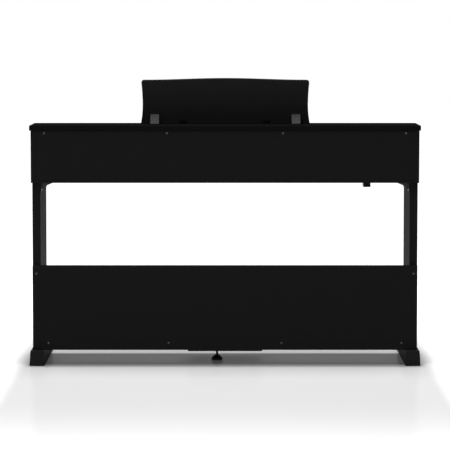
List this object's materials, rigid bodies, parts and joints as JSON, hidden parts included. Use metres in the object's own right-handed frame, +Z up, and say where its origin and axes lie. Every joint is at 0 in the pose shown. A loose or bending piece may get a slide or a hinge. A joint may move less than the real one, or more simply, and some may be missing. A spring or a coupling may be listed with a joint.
{
  "type": "digital piano",
  "caption": "Black console digital piano with a folding music rest, sliding key cover, weighted keys, panel stand and a pedal box.",
  "frame": {"origin": "on the floor, at the middle of the footprint", "axes": "+X to the player's right, +Y towards the back of the case, +Z up"},
  "size_m": [1.374, 0.44, 1.0064],
  "materials": {
    "case_board": "satin black foil on fibreboard",
    "foot_plastic": "black moulded plastic",
    "control_plastic": "black plastic",
    "black_steel": "blackened steel",
    "stay_steel": "grey painted steel",
    "zinc_plate": "zinc plated sheet",
    "red_felt": "pressed felt",
    "circuit": "circuit board",
    "speaker_black": "black basket and paper cone",
    "white_key": "glossy off-white plastic",
    "black_key": "matt black plastic",
    "pedal_brass": "polished brass"
  },
  "bodies": {
    "root": {"top_board": "case_board", "rear_panel": "case_board", "keybed": "case_board", "cheek_left": "case_board", "cheek_right": "case_board", "key_slip": "case_board", "fall_strip": "case_board", "key_block_left": "case_board", "key_block_right": "case_board", "rest_hinge_left": "black_steel", "rest_hinge_right": "black_steel", "key_frame": "zinc_plate", "key_felt": "red_felt", "contact_board": "circuit", "main_board": "circuit", "speaker_left": "speaker_black", "speaker_right": "speaker_black", "jack_plate": "control_plastic", "headphone_box": "control_plastic", "side_board_left": "case_board", "side_board_right": "case_board", "foot_left": "foot_plastic", "foot_right": "foot_plastic", "lower_panel": "case_board", "bracket_rear_left": "black_steel", "bracket_rear_right": "black_steel", "bracket_front_left": "black_steel", "bracket_front_right": "black_steel", "pedal_box": "foot_plastic"},
    "rest": {"music_rest": "case_board"},
    "stay_left": {"rest_stay_left": "stay_steel"},
    "stay_right": {"rest_stay_right": "stay_steel"},
    "cover": {"key_cover": "case_board"},
    "power": {"power_button": "control_plastic"},
    "volume": {"volume_knob": "control_plastic"},
    "adjuster": {"height_adjuster": "control_plastic"},
    "function_1": {"function_button_1": "control_plastic"},
    "function_2": {"function_button_2": "control_plastic"},
    "function_3": {"function_button_3": "control_plastic"},
    "pedal_left": {"pedal_left": "pedal_brass"},
    "pedal_middle": {"pedal_middle": "pedal_brass"},
    "pedal_right": {"pedal_right": "pedal_brass"},
    "white_keys_bass": {"white_keys_bass": "white_key"},
    "white_keys_treble": {"white_keys_treble": "white_key"},
    "black_keys_bass": {"black_keys_bass": "black_key"},
    "black_keys_treble": {"black_keys_treble": "black_key"},
    "key_c": {"key_c": "white_key"},
    "key_d": {"key_d": "white_key"},
    "key_e": {"key_e": "white_key"},
    "key_f": {"key_f": "white_key"},
    "key_g": {"key_g": "white_key"},
    "key_a": {"key_a": "white_key"},
    "key_b": {"key_b": "white_key"},
    "key_c_sharp": {"key_c_sharp": "black_key"},
    "key_d_sharp": {"key_d_sharp": "black_key"},
    "key_f_sharp": {"key_f_sharp": "black_key"},
    "key_g_sharp": {"key_g_sharp": "black_key"},
    "key_a_sharp": {"key_a_sharp": "black_key"}
  },
  "joints": [
    {"name": "music_rest_fold", "type": "hinge", "parent": "root", "child": "rest", "pos_m": [-0.0012, 0.024, 0.8505], "axis": [1, 0, 0], "range_deg": [-70, 0]},
    {"name": "stay_left_fold", "type": "hinge", "parent": "rest", "child": "stay_left", "pos_m": [-0.2522, 0.03886, 0.87616], "axis": [1, 0, 0], "range_deg": [0, 127.2]},
    {"name": "stay_right_fold", "type": "hinge", "parent": "rest", "child": "stay_right", "pos_m": [0.2498, 0.03886, 0.87616], "axis": [1, 0, 0], "range_deg": [0, 127.2]},
    {"name": "cover_slide", "type": "slide", "parent": "root", "child": "cover", "axis": [0, -0.9903, -0.1392], "range_m": [0, 0.145]},
    {"name": "power_press", "type": "slide", "parent": "root", "child": "power", "axis": [0, 0, -1], "range_m": [0, 0.0015], "stiffness_N_per_m": 400, "springref_m": -0.001},
    {"name": "function_1_press", "type": "slide", "parent": "root", "child": "function_1", "axis": [0, 0, -1], "range_m": [0, 0.0015], "stiffness_N_per_m": 400, "springref_m": -0.001},
    {"name": "function_2_press", "type": "slide", "parent": "root", "child": "function_2", "axis": [0, 0, -1], "range_m": [0, 0.0015], "stiffness_N_per_m": 400, "springref_m": -0.001},
    {"name": "function_3_press", "type": "slide", "parent": "root", "child": "function_3", "axis": [0, 0, -1], "range_m": [0, 0.0015], "stiffness_N_per_m": 400, "springref_m": -0.001},
    {"name": "volume_turn", "type": "hinge", "parent": "root", "child": "volume", "pos_m": [-0.637, -0.078, 0.744], "axis": [0, 0, 1], "range_deg": [-140, 140]},
    {"name": "adjuster_turn", "type": "hinge", "parent": "root", "child": "adjuster", "pos_m": [0.0285, 0.054, 0.01], "axis": [0, 0, 1], "continuous": true},
    {"name": "pedal_left_press", "type": "hinge", "parent": "root", "child": "pedal_left", "pos_m": [-0.072, 0.075, 0.086], "axis": [1, 0, 0], "range_deg": [0, 6], "stiffness_Nm_per_rad": 12, "springref_deg": -5.73},
    {"name": "pedal_middle_press", "type": "hinge", "parent": "root", "child": "pedal_middle", "pos_m": [0, 0.075, 0.086], "axis": [1, 0, 0], "range_deg": [0, 6], "stiffness_Nm_per_rad": 12, "springref_deg": -5.73},
    {"name": "pedal_right_press", "type": "hinge", "parent": "root", "child": "pedal_right", "pos_m": [0.072, 0.075, 0.086], "axis": [1, 0, 0], "range_deg": [0, 6], "stiffness_Nm_per_rad": 12, "springref_deg": -5.73},
    {"name": "white_keys_bass_press", "type": "hinge", "parent": "root", "child": "white_keys_bass", "pos_m": [0, 0.045, 0.714], "axis": [1, 0, 0], "range_deg": [0, 2.35], "stiffness_Nm_per_rad": 55.2, "springref_deg": -5.73},
    {"name": "white_keys_treble_press", "type": "hinge", "parent": "root", "child": "white_keys_treble", "pos_m": [0, 0.045, 0.714], "axis": [1, 0, 0], "range_deg": [0, 2.35], "stiffness_Nm_per_rad": 52.8, "springref_deg": -5.73},
    {"name": "black_keys_bass_press", "type": "hinge", "parent": "root", "child": "black_keys_bass", "pos_m": [0, 0.045, 0.7265], "axis": [1, 0, 0], "range_deg": [0, 2.35], "stiffness_Nm_per_rad": 22.4, "springref_deg": -5.73},
    {"name": "black_keys_treble_press", "type": "hinge", "parent": "root", "child": "black_keys_treble", "pos_m": [0, 0.045, 0.7265], "axis": [1, 0, 0], "range_deg": [0, 2.35], "stiffness_Nm_per_rad": 21, "springref_deg": -5.73},
    {"name": "key_c_press", "type": "hinge", "parent": "root", "child": "key_c", "pos_m": [0, 0.045, 0.714], "axis": [1, 0, 0], "range_deg": [0, 2.35], "stiffness_Nm_per_rad": 2.4, "springref_deg": -5.73},
    {"name": "key_d_press", "type": "hinge", "parent": "root", "child": "key_d", "pos_m": [0, 0.045, 0.714], "axis": [1, 0, 0], "range_deg": [0, 2.35], "stiffness_Nm_per_rad": 2.4, "springref_deg": -5.73},
    {"name": "key_e_press", "type": "hinge", "parent": "root", "child": "key_e", "pos_m": [0, 0.045, 0.714], "axis": [1, 0, 0], "range_deg": [0, 2.35], "stiffness_Nm_per_rad": 2.4, "springref_deg": -5.73},
    {"name": "key_f_press", "type": "hinge", "parent": "root", "child": "key_f", "pos_m": [0, 0.045, 0.714], "axis": [1, 0, 0], "range_deg": [0, 2.35], "stiffness_Nm_per_rad": 2.4, "springref_deg": -5.73},
    {"name": "key_g_press", "type": "hinge", "parent": "root", "child": "key_g", "pos_m": [0, 0.045, 0.714], "axis": [1, 0, 0], "range_deg": [0, 2.35], "stiffness_Nm_per_rad": 2.4, "springref_deg": -5.73},
    {"name": "key_a_press", "type": "hinge", "parent": "root", "child": "key_a", "pos_m": [0, 0.045, 0.714], "axis": [1, 0, 0], "range_deg": [0, 2.35], "stiffness_Nm_per_rad": 2.4, "springref_deg": -5.73},
    {"name": "key_b_press", "type": "hinge", "parent": "root", "child": "key_b", "pos_m": [0, 0.045, 0.714], "axis": [1, 0, 0], "range_deg": [0, 2.35], "stiffness_Nm_per_rad": 2.4, "springref_deg": -5.73},
    {"name": "key_c_sharp_press", "type": "hinge", "parent": "root", "child": "key_c_sharp", "pos_m": [0, 0.045, 0.7265], "axis": [1, 0, 0], "range_deg": [0, 2.35], "stiffness_Nm_per_rad": 1.4, "springref_deg": -5.73},
    {"name": "key_d_sharp_press", "type": "hinge", "parent": "root", "child": "key_d_sharp", "pos_m": [0, 0.045, 0.7265], "axis": [1, 0, 0], "range_deg": [0, 2.35], "stiffness_Nm_per_rad": 1.4, "springref_deg": -5.73},
    {"name": "key_f_sharp_press", "type": "hinge", "parent": "root", "child": "key_f_sharp", "pos_m": [0, 0.045, 0.7265], "axis": [1, 0, 0], "range_deg": [0, 2.35], "stiffness_Nm_per_rad": 1.4, "springref_deg": -5.73},
    {"name": "key_g_sharp_press", "type": "hinge", "parent": "root", "child": "key_g_sharp", "pos_m": [0, 0.045, 0.7265], "axis": [1, 0, 0], "range_deg": [0, 2.35], "stiffness_Nm_per_rad": 1.4, "springref_deg": -5.73},
    {"name": "key_a_sharp_press", "type": "hinge", "parent": "root", "child": "key_a_sharp", "pos_m": [0, 0.045, 0.7265], "axis": [1, 0, 0], "range_deg": [0, 2.35], "stiffness_Nm_per_rad": 1.4, "springref_deg": -5.73}
  ],
  "couplings": [
    {"joint": "stay_left_fold", "follows": "music_rest_fold", "ratio": -1.8143},
    {"joint": "stay_right_fold", "follows": "music_rest_fold", "ratio": -1.8143}
  ]
}
